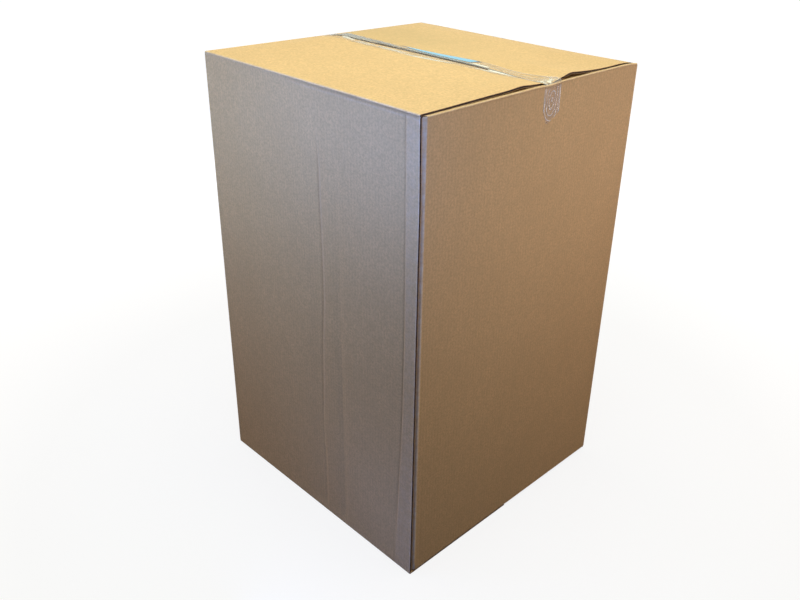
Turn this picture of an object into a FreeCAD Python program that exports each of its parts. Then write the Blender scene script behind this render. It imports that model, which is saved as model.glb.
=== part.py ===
import FreeCAD, Part
import os
import Sketcher

# A closed slotted carton of single-wall corrugated board, in millimetres.
# +Z is up, the origin is the middle of the underside, the front panel faces -Y.
# The board is one folded sheet: four panels, a glue tab, four top flaps and four bottom flaps.

os.makedirs("parts", exist_ok=True)
doc = FreeCAD.newDocument("carton_box")

drivingSizes = [
    ("boxLength", 610.0, "outside size along X, between the two side panels"),
    ("boxWidth", 612.0, "outside size along Y, between the front and back panels"),
    ("boxHeight", 964.0, "floor to the top of the outer flaps where they lie flat"),
    ("boardThickness", 4.0, "single-wall board"),
    ("creaseRadius", 5.5, "outside radius of every fold"),
    ("layerGap", 0.4, "clearance between two layers of board, filled by glue at the tab"),
    ("slotSetback", 4.0, "side edge of a flap, back from the panel face round the corner"),
    ("rawEdgeSetback", 2.0, "cut edge of the front panel, back from the right face"),
    ("tabWidth", 38.0, "reach of the glue tab behind the front panel"),
    ("seamGap", 4.0, "gap between the ends of the outer flaps"),
    ("innerSeamGap", 2.0, "gap between the ends of the inner flaps"),
    ("creaseLand", 6.0, "flat strip of flap next to its fold, and of tape next to an edge"),
    ("seamCrown", 2.5, "rise of the taped seam above the flat of the top"),
    ("frontFlapBow", 3.2, "lift of the front flap at its right side edge"),
    ("backFlapBow", 5.8, "lift of the back flap at its right side edge"),
    ("tapeWidth", 48.0, "packing tape"),
    ("tapeThickness", 0.1, "film and adhesive"),
    ("tapeClearance", 0.1, "tape above the board under it"),
    ("tapeLeftY", 8.0, "middle of the top tape at the left edge"),
    ("tapeMiddleY", -3.0, "middle of the top tape halfway along the seam"),
    ("tapeRightY", 28.0, "middle of the top tape at the right edge"),
    ("tailLength", 74.0, "lowest tip of the torn tape end, below the top"),
    ("tailNotch", 27.0, "height of the slanting tear at the near side of the tail"),
    ("tailSlant", 12.0, "rise of the tear from its tip to the far side of the tail"),
    ("tailTipInset", 11.0, "tip of the tear, in from the near side of the tail"),
    ("leftTailLength", 60.0, "straight cut tape end on the left side"),
    ("bottomTapeMargin", 12.0, "end of the bottom tape, in from the side edge"),
    ("glueMargin", 6.0, "edge of the glue, in from the edges of the tab"),
]

sizes = doc.addObject("Spreadsheet::Sheet", "sizes")
for row, (alias, number, note) in enumerate(drivingSizes, start=1):
    sizes.set("A%d" % row, alias)
    sizes.set("B%d" % row, str(number))
    sizes.setAlias("B%d" % row, alias)
    sizes.set("C%d" % row, note)
doc.recompute()


class Length:
    """A number together with the spreadsheet formula that gives it."""

    def __init__(self, value, formula):
        self.value = value
        self.formula = formula

    def join(self, other, sign):
        if not isinstance(other, Length):
            other = Length(other, str(other))
        value = self.value + sign * other.value
        return Length(value, "(%s %s %s)" % (self.formula, "+" if sign > 0 else "-", other.formula))

    def __add__(self, other):
        return self.join(other, 1)

    def __sub__(self, other):
        return self.join(other, -1)

    def __neg__(self):
        return Length(-self.value, "(-1 * %s)" % self.formula)

    def __truediv__(self, number):
        return Length(self.value / number, "(%s / %s)" % (self.formula, number))


def size(alias):
    return Length(float(sizes.get(alias)), "sizes.%s" % alias)


board = size("boardThickness")
gap = size("layerGap")
fold = size("creaseRadius")
innerFold = fold - board
setback = size("slotSetback")
land = size("creaseLand")
tapeFilm = size("tapeThickness")
tapeLift = size("tapeClearance")

# Faces of the box.
floor = Length(0.0, "0")
right = size("boxLength") / 2
left = -right
back = size("boxWidth") / 2
front = -back
top = size("boxHeight")
bottom = tapeFilm + tapeLift

# The inner flaps lie one board and one clearance inside the outer ones.
innerTop = top - board - gap
innerBottom = bottom + board + gap
girthTop = innerTop - fold
girthBottom = innerBottom + fold
tabFace = front + board + gap
frontRawEdge = right - size("rawEdgeSetback")
flapEndFront = -(size("seamGap") / 2)
flapEndBack = size("seamGap") / 2


def newBody(name):
    body = doc.addObject("PartDesign::Body", name)
    body.Label = name
    return body


def newSketch(body, name, role, offset):
    """A sketch on one of the body's own planes, moved along its normal by offset."""
    sketch = body.newObject("Sketcher::SketchObject", name)
    plane = [feature for feature in body.Origin.OriginFeatures if feature.Role == role][0]
    sketch.AttachmentSupport = [(plane, "")]
    sketch.MapMode = "FlatFace"
    sketch.setExpression("AttachmentOffset.Base.z", offset.formula)
    return sketch


def fixDistance(sketch, kind, index, point, length):
    """Dimension a point of an edge from the sketch's origin, bound to the spreadsheet."""
    if length.value < 0:
        number = sketch.addConstraint(Sketcher.Constraint(kind, index, point, -1, 1, -length.value))
        sketch.setExpression("Constraints[%d]" % number, (-length).formula)
    else:
        number = sketch.addConstraint(Sketcher.Constraint(kind, -1, 1, index, point, length.value))
        sketch.setExpression("Constraints[%d]" % number, length.formula)


def drawSquareOutline(sketch, corners):
    """Closed outline of lines along the axes: corners are (x, y, radius), radius None if sharp."""
    count = len(corners)
    points = [FreeCAD.Vector(x.value, y.value, 0) for x, y, radius in corners]
    radii = [0.0 if radius is None else radius.value for x, y, radius in corners]
    steps = [(points[(i + 1) % count] - points[i]).normalize() for i in range(count)]
    for i in range(count):
        start = points[i] + steps[i] * radii[i]
        end = points[(i + 1) % count] - steps[i] * radii[(i + 1) % count]
        sketch.addGeometry(Part.LineSegment(start, end))
        if abs(steps[i].x) > abs(steps[i].y):
            sketch.addConstraint(Sketcher.Constraint("Horizontal", i))
            fixDistance(sketch, "DistanceY", i, 1, corners[i][1])
        else:
            sketch.addConstraint(Sketcher.Constraint("Vertical", i))
            fixDistance(sketch, "DistanceX", i, 1, corners[i][0])
    for i in range(count):
        before = (i - 1) % count
        radius = corners[i][2]
        if radius is None:
            sketch.addConstraint(Sketcher.Constraint("Coincident", before, 2, i, 1))
            continue
        turn = steps[before].cross(steps[i]).z
        centre = points[i] - steps[before] * radii[i] + steps[i] * radii[i]
        first = points[i] - steps[before] * radii[i]
        last = points[i] + steps[i] * radii[i]
        middle = centre + (points[i] - centre).normalize() * radii[i]
        if turn > 0:
            arc = sketch.addGeometry(Part.Arc(first, middle, last))
            atLine, atNext = 1, 2
        else:
            arc = sketch.addGeometry(Part.Arc(last, middle, first))
            atLine, atNext = 2, 1
        sketch.addConstraint(Sketcher.Constraint("Tangent", before, 2, arc, atLine))
        sketch.addConstraint(Sketcher.Constraint("Tangent", arc, atNext, i, 1))
        number = sketch.addConstraint(Sketcher.Constraint("Radius", arc, radii[i]))
        sketch.setExpression("Constraints[%d]" % number, radius.formula)


def drawPolygon(sketch, corners):
    """Closed outline of straight lines with every corner dimensioned from the origin."""
    count = len(corners)
    points = [FreeCAD.Vector(x.value, y.value, 0) for x, y in corners]
    for i in range(count):
        sketch.addGeometry(Part.LineSegment(points[i], points[(i + 1) % count]))
    for i in range(count):
        sketch.addConstraint(Sketcher.Constraint("Coincident", (i - 1) % count, 2, i, 1))
        fixDistance(sketch, "DistanceX", i, 1, corners[i][0])
        fixDistance(sketch, "DistanceY", i, 1, corners[i][1])


def padOutline(name, role, offset, length, corners):
    """A body made by padding a square outline along the normal of its plane."""
    body = newBody(name)
    sketch = newSketch(body, name + "_outline", role, offset)
    drawSquareOutline(sketch, corners)
    pad = body.newObject("PartDesign::Pad", name + "_pad")
    pad.Profile = sketch
    pad.setExpression("Length", length.formula)
    return body


def girth():
    """Plan section of the four panels and the glue tab: one open strip of board."""
    tabEnd = right - size("tabWidth")
    corners = [
        (frontRawEdge, front, None),
        (left, front, fold),
        (left, back, fold),
        (right, back, fold),
        (right, tabFace, fold),
        (tabEnd, tabFace, None),
        (tabEnd, tabFace + board, None),
        (right - board, tabFace + board, innerFold),
        (right - board, back - board, innerFold),
        (left + board, back - board, innerFold),
        (left + board, front + board, innerFold),
        (frontRawEdge, front + board, None),
    ]
    return padOutline("girth", "XY_Plane", girthBottom, girthTop - girthBottom, corners)


def foldedFlap(name, role, panelFace, flapFace, flapEnd, girthEnd, inward, upward, offset, length):
    """Board that leaves the girth, turns over one fold and runs to flapEnd, padded along the fold."""
    panelInside = panelFace + board if inward > 0 else panelFace - board
    flapInside = flapFace - board if upward > 0 else flapFace + board
    panelStart = girthEnd - land if upward > 0 else girthEnd + land
    corners = [
        (panelFace, panelStart, None),
        (panelFace, flapFace, fold),
        (flapEnd, flapFace, None),
        (flapEnd, flapInside, None),
        (panelInside, flapInside, innerFold),
        (panelInside, panelStart, None),
    ]
    return padOutline(name, role, offset, length, corners)


def outerFlapFold(name, panelFace, inward, flapFace, girthEnd, upward, flapEnd, rightEdge):
    start = left + setback
    return foldedFlap(name, "YZ_Plane", panelFace, flapFace, flapEnd, girthEnd, inward, upward,
                      start, rightEdge - start)


def innerFlap(name, panelFace, inward, flapFace, girthEnd, upward, flapEnd, nearEdge):
    farEdge = back - setback
    return foldedFlap(name, "XZ_Plane", panelFace, flapFace, flapEnd, girthEnd, inward, upward,
                      -farEdge, farEdge - nearEdge)


def boardParts():
    """The girth, the eight folds and the flaps that lie flat."""
    halfInnerGap = size("innerSeamGap") / 2
    nearEdgeRight = tabFace + size("rawEdgeSetback")
    nearEdgeLeft = front + setback
    parts = [girth()]
    parts.append(outerFlapFold("front_top_fold", front, 1, top, girthTop, 1,
                               front + fold + land, frontRawEdge))
    parts.append(outerFlapFold("back_top_fold", back, -1, top, girthTop, 1,
                               back - fold - land, right - setback))
    parts.append(outerFlapFold("front_bottom_flap", front, 1, bottom, girthBottom, -1,
                               flapEndFront, frontRawEdge))
    parts.append(outerFlapFold("back_bottom_flap", back, -1, bottom, girthBottom, -1,
                               flapEndBack, right - setback))
    for level, face, girthEnd, upward in (("top", innerTop, girthTop, 1),
                                          ("bottom", innerBottom, girthBottom, -1)):
        parts.append(innerFlap("right_%s_flap" % level, right, -1, face, girthEnd, upward,
                               halfInnerGap, nearEdgeRight))
        parts.append(innerFlap("left_%s_flap" % level, left, 1, face, girthEnd, upward,
                               -halfInnerGap, nearEdgeLeft))
    return parts


crownReachX = (right - setback - land).value
crownReachY = (back - fold - land).value

# Points across which the curved faces are fitted.
stationsAlong = 25
stationsAcrossFlap = 61
stationsAcrossTape = 9

# Shape of each bow: it climbs slowly from the fold and drops quickly at the tape.
frontBowRise, frontBowFall = 8, 1.5
backBowRise, backBowFall = 15, 2


def spread(start, end, count):
    return [start + (end - start) * i / (count - 1) for i in range(count)]


def tapeMiddle(x):
    """Middle of the hand-laid top tape: a shallow curve through its three driving places."""
    along = x / crownReachX
    atLeft, atMiddle, atRight = [size(a).value for a in ("tapeLeftY", "tapeMiddleY", "tapeRightY")]
    return atMiddle + (atRight - atLeft) / 2 * along + ((atRight + atLeft) / 2 - atMiddle) * along ** 2


tapePlaces = spread(-crownReachX, crownReachX, stationsAlong)
tapeHalfWidth = (size("tapeWidth") / 2).value
tapeNearY = min(tapeMiddle(x) for x in tapePlaces) - tapeHalfWidth
tapeFarY = max(tapeMiddle(x) for x in tapePlaces) + tapeHalfWidth


def peak(share, rise, fall):
    """Smooth bump on 0..1, one high at rise / (rise + fall) and zero at both ends."""
    if share <= 0 or share >= 1:
        return 0.0
    summit = rise / (rise + fall)
    return (share / summit) ** rise * ((1 - share) / (1 - summit)) ** fall


def crown(x, y):
    """Height of the taped seam's gentle rise above the flat top."""
    along = min(1.0, abs(x) / crownReachX)
    across = min(1.0, abs(y) / crownReachY)
    return size("seamCrown").value * (1 - along ** 4) ** 2 * (1 - across ** 2) ** 3


def frontFlapHeight(x, y):
    """Crown plus the bow that lifts the flap off the fold at its right side edge."""
    toRight = (x - left.value) / (frontRawEdge.value - left.value)
    share = (y + crownReachY) / (tapeNearY + crownReachY)
    bow = size("frontFlapBow").value * toRight ** 2
    return crown(x, y) + bow * peak(share, frontBowRise, frontBowFall)


def backFlapHeight(x, y):
    """Crown plus the bow beyond the tape, where the side edge springs up most."""
    toRight = (x - left.value) / (right.value - setback.value - left.value)
    share = (crownReachY - y) / (crownReachY - tapeFarY)
    bow = size("backFlapBow").value * toRight ** 2
    return crown(x, y) + bow * peak(share, backBowRise, backBowFall)


def bowedFlap(name, xRange, yRange, height):
    """Free board of an outer top flap: a curved face one board thick."""
    across = spread(*yRange, stationsAcrossFlap)
    rows = [[FreeCAD.Vector(x, y, top.value + height(x, y)) for y in across]
            for x in spread(*xRange, stationsAlong)]
    surface = Part.BSplineSurface()
    surface.interpolate(rows)
    flap = doc.addObject("Part::Feature", name)
    flap.Shape = surface.toShape().extrude(FreeCAD.Vector(0, 0, -board.value))
    return flap


def bowedFlaps():
    start = (left + setback).value
    frontFlap = bowedFlap("front_top_flap", (start, frontRawEdge.value),
                          (-crownReachY, flapEndFront.value), frontFlapHeight)
    backFlap = bowedFlap("back_top_flap", (start, (right - setback).value),
                         (flapEndBack.value, crownReachY), backFlapHeight)
    return [frontFlap, backFlap]


def fuse(name, pieces):
    joined = doc.addObject("Part::MultiFuse", name)
    joined.Label = name
    joined.Shapes = pieces
    joined.Refine = True
    return joined


def tapeOverSeam():
    """The part of the top tape that lies on the crowned flaps."""
    rows = []
    for x in tapePlaces:
        middle = tapeMiddle(x)
        across = spread(middle - tapeHalfWidth, middle + tapeHalfWidth, stationsAcrossTape)
        rows.append([FreeCAD.Vector(x, y, top.value + tapeLift.value + crown(x, y)) for y in across])
    surface = Part.BSplineSurface()
    surface.interpolate(rows)
    strip = doc.addObject("Part::Feature", "top_tape_strip")
    strip.Shape = surface.toShape().extrude(FreeCAD.Vector(0, 0, tapeFilm.value))
    return strip


def tapeTail(name, side, middleY, length):
    """Tape that turns over a side edge of the top and hangs on the side panel."""
    inside = right + tapeLift if side > 0 else left - tapeLift
    outside = inside + tapeFilm if side > 0 else inside - tapeFilm
    landEnd = right - setback - land if side > 0 else left + setback + land
    under = top + tapeLift
    tip = top - length
    bend = setback
    corners = [
        (landEnd, under, None),
        (inside, under, bend),
        (inside, tip, None),
        (outside, tip, None),
        (outside, under + tapeFilm, bend + tapeFilm),
        (landEnd, under + tapeFilm, None),
    ]
    farSide = middleY + size("tapeWidth") / 2
    return padOutline(name, "XZ_Plane", -farSide, size("tapeWidth"), corners)


def tearTail(body, middleY):
    """Cut the slanting, torn end of the tape on the right side."""
    nearSide = middleY - size("tapeWidth") / 2
    farSide = middleY + size("tapeWidth") / 2
    tip = top - size("tailLength")
    beyond = size("tapeWidth")
    sketch = newSketch(body, "tear_outline", "YZ_Plane", right)
    drawPolygon(sketch, [
        (nearSide, tip + size("tailNotch")),
        (nearSide + size("tailTipInset"), tip),
        (farSide, tip + size("tailSlant")),
        (farSide + beyond, tip + size("tailSlant")),
        (farSide + beyond, tip - beyond),
        (nearSide - beyond, tip - beyond),
        (nearSide - beyond, tip + size("tailNotch")),
    ])
    tear = body.newObject("PartDesign::Pocket", "tear")
    tear.Profile = sketch
    tear.Type = "ThroughAll"
    tear.Reversed = True
    body.Tip = tear
    return body


def topTape():
    rightMiddle = size("tapeRightY")
    rightTail = tapeTail("right_tail", 1, rightMiddle, size("tailLength"))
    tearTail(rightTail, rightMiddle)
    leftTail = tapeTail("left_tail", -1, size("tapeLeftY"), size("leftTailLength"))
    return fuse("top_tape", [tapeOverSeam(), rightTail, leftTail])


def bottomTape():
    """Straight strip under the seam of the outer bottom flaps."""
    start = left + size("bottomTapeMargin")
    halfWidth = size("tapeWidth") / 2
    corners = [
        (start, -halfWidth, None),
        (-start, -halfWidth, None),
        (-start, halfWidth, None),
        (start, halfWidth, None),
    ]
    return padOutline("bottom_tape", "XY_Plane", floor, tapeFilm, corners)


def jointGlue():
    """Film of glue that fills the clearance between the tab and the front panel."""
    margin = size("glueMargin")
    start = right - size("tabWidth") + margin
    end = right - fold - margin
    corners = [
        (start, front + board, None),
        (end, front + board, None),
        (end, tabFace, None),
        (start, tabFace, None),
    ]
    low = girthBottom + margin
    return padOutline("joint_glue", "XY_Plane", low, girthTop - margin - low, corners)


nodes = [fuse("carton", boardParts() + bowedFlaps()), topTape(), bottomTape(), jointGlue()]
doc.recompute()

for item in doc.Objects:
    if "Invalid" in item.State or "Error" in item.State:
        raise RuntimeError("%s failed to recompute: %s" % (item.Name, item.State))

for node in nodes:
    shape = node.Shape
    if shape.isNull() or not shape.isValid() or len(shape.Solids) != 1:
        raise RuntimeError("%s is not one valid solid" % node.Label)
    box = shape.BoundBox
    print("%-12s volume %.0f mm3, x %.2f to %.2f, y %.2f to %.2f, z %.2f to %.2f" % (
        node.Label, shape.Volume, box.XMin, box.XMax, box.YMin, box.YMax, box.ZMin, box.ZMax))
    shape.exportStep("parts/%s.step" % node.Label)
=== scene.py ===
import math

import bpy
import numpy as np
from mathutils import Matrix, Vector


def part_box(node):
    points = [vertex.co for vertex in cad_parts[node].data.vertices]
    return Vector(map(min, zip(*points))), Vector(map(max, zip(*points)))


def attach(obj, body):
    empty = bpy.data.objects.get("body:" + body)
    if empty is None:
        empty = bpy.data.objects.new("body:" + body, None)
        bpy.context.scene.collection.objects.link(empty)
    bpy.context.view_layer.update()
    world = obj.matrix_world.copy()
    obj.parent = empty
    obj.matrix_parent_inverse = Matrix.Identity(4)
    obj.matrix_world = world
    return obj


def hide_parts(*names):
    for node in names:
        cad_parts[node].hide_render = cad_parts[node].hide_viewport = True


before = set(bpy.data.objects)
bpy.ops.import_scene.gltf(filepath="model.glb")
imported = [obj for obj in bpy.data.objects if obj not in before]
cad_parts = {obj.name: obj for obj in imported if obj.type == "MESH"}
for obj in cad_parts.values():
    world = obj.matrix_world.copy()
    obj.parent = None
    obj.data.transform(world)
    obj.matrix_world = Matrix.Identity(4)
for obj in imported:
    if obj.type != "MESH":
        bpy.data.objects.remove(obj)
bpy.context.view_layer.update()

mm = 0.001
boardLow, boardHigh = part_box("carton")


def metres(*lengths):
    return [v * mm for v in lengths]


print("frame loaded, box of", [round(v, 4) for v in boardHigh - boardLow], "m")

# The board, folded from one flat blank. x runs along the seam of the flaps, y across it.
board = {
    "right": boardHigh.x,
    "back": boardHigh.y,
    "under": boardLow.z,
    "top": 964 * mm,              # outer flaps where they lie flat
    "thickness": 4 * mm,
    "foldRadius": 2.6 * mm,
    "foldCrush": 1.6 * mm,        # the board is pressed thinner along its folds
    "facetFront": 7 * mm,         # crushed slant beside the glued corner, along x and along y
    "facetSide": 9 * mm,
    "facetBulge": 2.2 * mm,       # lower down it is fuller, at this share of its width
    "bulgeShare": 0.29,
    "layerGap": 0.4 * mm,
    "bulgeAtTop": 0.2,            # share of the bulge at the top, and over what depths it grows
    "bulgeGrow": metres(20, 420),
    "crushReach": 4 * mm,         # how far from a fold the board has its full thickness again
    "cutEdgeLean": 2.6 * mm,      # how much further back the front panel's cut edge stands at the top
    "leanShare": 1 / 6,           # of the height, and how far the lean reaches along x
    "leanReach": 40 * mm,
    "slotSetback": 4 * mm,
    "tabWidth": 38 * mm,
    "slotStart": 0.58,            # share of the fold's turn at which the slots begin
    "outerSeam": 2 * mm,          # flap ends, from the middle
    "innerSeam": 1 * mm,
    "linerShare": 0.1,            # of the thickness, one paper liner
    "edgeRecess": 2.2 * mm,       # how far the fluting is hollow behind a cut edge
    "leftWaves": (0.8 * mm, 330 * mm, 7),    # unevenness of the plain panels: height, length, seed
    "backWaves": (0.8 * mm, 330 * mm, 8),
    "dentFade": metres(9, 1.8, 25),    # no dents this near to side folds, top and foot
}

# Sag and bow of the top, read from the photograph as heights above the flat of the flaps.
lid = {
    "frontCrown": 0.8 * mm,
    "backCrown": 3.2 * mm,
    "frontWaves": (0.25 * mm, 170 * mm, 3),    # height, length and seed
    "backWaves": (0.3 * mm, 190 * mm, 4),
    "backSag": 12 * mm,
    "backSagStart": 215 * mm,
    "backSagPower": 1.8,
    "leftSag": 12 * mm,
    "leftSagStart": 245 * mm,
    "sideBowStart": 110 * mm,
    "frontEdgeY": metres(-306, -247, -186, -138, -90, -56, -28, 0),
    "frontEdgeHeight": metres(-0.8, -0.4, 0.5, 1.2, 1.8, 3.2, 0.6, -1.2),
    "backEdgeY": metres(0, 27, 46, 64, 84, 104, 150, 205, 250, 280, 306),
    "backEdgeHeight": metres(-2.2, -4.0, -0.6, 2.4, 5.6, 4.0, 0.4, -1.6, -2.0, -4.4, -10.5),
    "raggedY": 80 * mm,           # frayed part of the back flap's cut edge
    "raggedReach": 30 * mm,
    "raggedAcross": 16 * mm,
    "raggedDepth": 1.6 * mm,
    "raggedWaves": (8 * mm, 15),  # length and seed
    "innerRise": 0.65,            # share by which the hidden flaps stay up beside their fold
    "innerRiseReach": 14 * mm,
}

# Marks in the front panel: distance from its left edge and depth under the top.
frontPanel = {
    "buckleDepth": metres(0, 67, 120, 216, 337, 424, 518, 615, 718, 823, 964),
    "buckleFromLeft": metres(338, 341, 347, 348, 351, 351, 345, 342, 339, 343, 343),
    "bandDepth": metres(0, 127, 480, 813, 964),
    "bandFromLeft": metres(396, 397, 402, 405, 406),
    "tabLineDepth": metres(0, 150, 334, 545, 662, 791, 964),
    "tabLineFromLeft": metres(573, 575, 578, 577, 574, 568, 562),
    # dents along them, in mm: mark, offset, depth, half width, and where they grow to full depth
    "dents": [("buckle", 0, 1.3, 5, 40, 170), ("buckle", -14, 1.4, 26, 40, 170),
              ("band", 0, 1.6, 14, 60, 260), ("tabLine", 0, 1.2, 3, -1, 0)],
    "tabRecess": metres(0.6, 26),    # left of the tab line: depth, and how fast it falls off
    "scored": metres(0.9, 2.3, 5.4),    # line scored under the top: depth, half width, place
    "scoredStart": metres(300, 360),    # and where it starts, from the left
    # short crease near the foot: place, depth, half width, half length
    "crease": metres(44, 900, 1.3, 3, 22),
    "creaseSlope": (0.83, 0.55),
    "edgeRidge": metres(0.35, 3, 607),
    "waves": (0.5 * mm, 260 * mm, 5),
    "inset": 0.4 * mm,
}

# The right panel is pulled in a little where the tape end holds it.
rightPanel = {
    "scored": metres(0.45, 1.9, 9.2),    # depth, half width, place under the top
    "scoredRim": metres(0.1, 2, 12.4),
    "nearDent": metres(0.5, 4, 25),    # depth, half width, place from the near corner
    "nearDentStart": metres(700, 880),
    "tapeDent": 0.85 * mm,
    "tapeDentPlace": metres(28, 30),    # along y and under the top
    "tapeDentReach": metres(55, 80),
    "waves": (0.35 * mm, 300 * mm, 6),
    "inset": 0.1 * mm,
}


def eased(t):
    # S-curve from 0 to 1
    t = np.clip(t, 0, 1)
    return t * t * (3 - 2 * t)


def bell(distance, halfWidth):
    # 1 in the middle, about 0.1 at the half width
    return np.exp(-2.3 * (distance / halfWidth) ** 2)


def groove(distance, values):
    # values are strength, half width and place from what the distance is measured from
    strength, halfWidth, place = values
    return strength * bell(distance - place, halfWidth)


def ramp(value, ends):
    return eased((value - ends[0]) / (ends[1] - ends[0]))


def joined(*parts):
    # arrays of one shape, side by side in a new last axis
    return np.stack(np.broadcast_arrays(*parts), axis=-1)


def throughPoints(t, places, values):
    # smooth curve through given points: cubic pieces with the slopes of the neighbouring points
    places, values = np.asarray(places, float), np.asarray(values, float)
    slopes = np.gradient(values, places)
    t = np.clip(t, places[0], places[-1])
    k = np.clip(np.searchsorted(places, t) - 1, 0, len(places) - 2)
    span = places[k + 1] - places[k]
    s = (t - places[k]) / span
    start = (2 * s**3 - 3 * s**2 + 1) * values[k] + (s**3 - 2 * s**2 + s) * span * slopes[k]
    end = (3 * s**2 - 2 * s**3) * values[k + 1] + (s**3 - s**2) * span * slopes[k + 1]
    return start + end


def ripple(a, b, scale, seed):
    # gentle unevenness between -1 and 1: plane waves in seeded directions added up
    rng = np.random.default_rng(seed)
    total = np.zeros(np.broadcast(a, b).shape)
    waves = 6
    for k in range(waves):
        angle, phase, stretch = rng.uniform(0, math.pi), rng.uniform(0, 2 * math.pi), rng.uniform(0.7, 1.6)
        along = a * math.cos(angle) + b * math.sin(angle)
        total = total + np.sin(2 * math.pi * along / (scale * stretch) + phase)
    return total / waves


def unevenness(a, b, waves):
    # waves are height, length and seed
    height, length, seed = waves
    return height * (ripple(a, b, length, seed) - 1)


def stations(breaks, steps):
    # values from the first break to the last, each span cut by about its own step
    parts = []
    for start, end, step in zip(breaks, breaks[1:], steps):
        count = max(1, round(abs(end - start) / step))
        parts.append(np.linspace(start, end, count + 1)[:-1])
    return np.append(np.concatenate(parts), breaks[-1]) * mm


def leftShare(x):
    return ramp(-x, (lid["leftSagStart"], board["right"]))


def leftSag(y):
    return -lid["leftSag"] * (y + board["back"]) / (2 * board["back"])


def crownShape(x, y):
    # 1 at the middle of the seam, 0 at the edges of the top
    alongX, alongY = np.abs(x) / board["right"], np.abs(y) / board["back"]
    return np.clip(1 - alongX**6, 0, 1) * np.clip(1 - alongY**2, 0, 1) ** 3


def flapHeight(x, y, flap):
    # crown, waves and droop in the middle; the measured line at the right edge; the sag at the left one
    edge = throughPoints(y, lid[flap + "EdgeY"], lid[flap + "EdgeHeight"])
    toRight = ramp(x, (lid["sideBowStart"], board["right"]))
    droop = np.clip((y - lid["backSagStart"]) / (board["back"] - lid["backSagStart"]), 0, None)
    waveHeight, waveLength, seed = lid[flap + "Waves"]
    middle = (lid[flap + "Crown"] + waveHeight * ripple(x, y, waveLength, seed)) * crownShape(x, y)
    middle = middle - lid["backSag"] * droop ** lid["backSagPower"]
    height = middle * (1 - toRight) + edge * toRight
    return height * (1 - leftShare(x)) + leftSag(y) * leftShare(x)


def outerFlapHeight(x, y):
    return np.where(y < 0, flapHeight(x, y, "front"), flapHeight(x, y, "back"))


def innerFlapHeight(x, y):
    # the hidden flaps lie under the outer ones and are pressed down wherever those dip
    pressed = np.minimum(outerFlapHeight(x, y), 0)
    return pressed * (1 - lid["innerRise"] * bell(x - board["right"], lid["innerRiseReach"]))


def fromMark(x, z, mark):
    # distance to the right of a long mark in the front panel
    line = throughPoints(board["top"] - z, frontPanel[mark + "Depth"], frontPanel[mark + "FromLeft"])
    return x + board["right"] - line


def frontRelief(x, z):
    # dents of the front panel, outwards positive: bells along the marks, an exponential fall beside
    # the tab line, the scored line, one short crease and soft waves
    fromLeft, depth = x + board["right"], board["top"] - z
    relief = unevenness(fromLeft, depth, frontPanel["waves"]) - frontPanel["inset"]
    for mark, aside, dent, halfWidth, start, full in frontPanel["dents"]:
        dent = dent * mm * bell(fromMark(x, z, mark) - aside * mm, halfWidth * mm)
        relief = relief - dent * ramp(depth, metres(start, full))
    tabLine = fromMark(x, z, "tabLine")
    recess, falling = frontPanel["tabRecess"]
    relief = relief - recess * np.where(tabLine < 0, np.exp(np.minimum(tabLine, 0) / falling), 0)
    relief = relief - groove(depth, frontPanel["scored"]) * ramp(fromLeft, frontPanel["scoredStart"])
    creaseLeft, creaseDepth, dent, halfWidth, halfLength = frontPanel["crease"]
    a, b = fromLeft - creaseLeft, depth - creaseDepth
    steep, flat = frontPanel["creaseSlope"]
    relief = relief - dent * bell(steep * a + flat * b, halfWidth) * bell(flat * a + steep * b, halfLength)
    return np.minimum(relief + groove(fromLeft, frontPanel["edgeRidge"]), 0)


def rightRelief(y, z):
    # the same for the right panel
    depth = board["top"] - z
    relief = unevenness(y, z, rightPanel["waves"]) - rightPanel["inset"]
    relief = relief - groove(depth, rightPanel["scored"]) + groove(depth, rightPanel["scoredRim"])
    nearDent = groove(y + board["back"], rightPanel["nearDent"])
    relief = relief - nearDent * ramp(depth, rightPanel["nearDentStart"])
    (tapeY, tapeDepth), (alongY, alongDepth) = rightPanel["tapeDentPlace"], rightPanel["tapeDentReach"]
    return relief - rightPanel["tapeDent"] * bell(y - tapeY, alongY) * bell(depth - tapeDepth, alongDepth)


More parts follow.
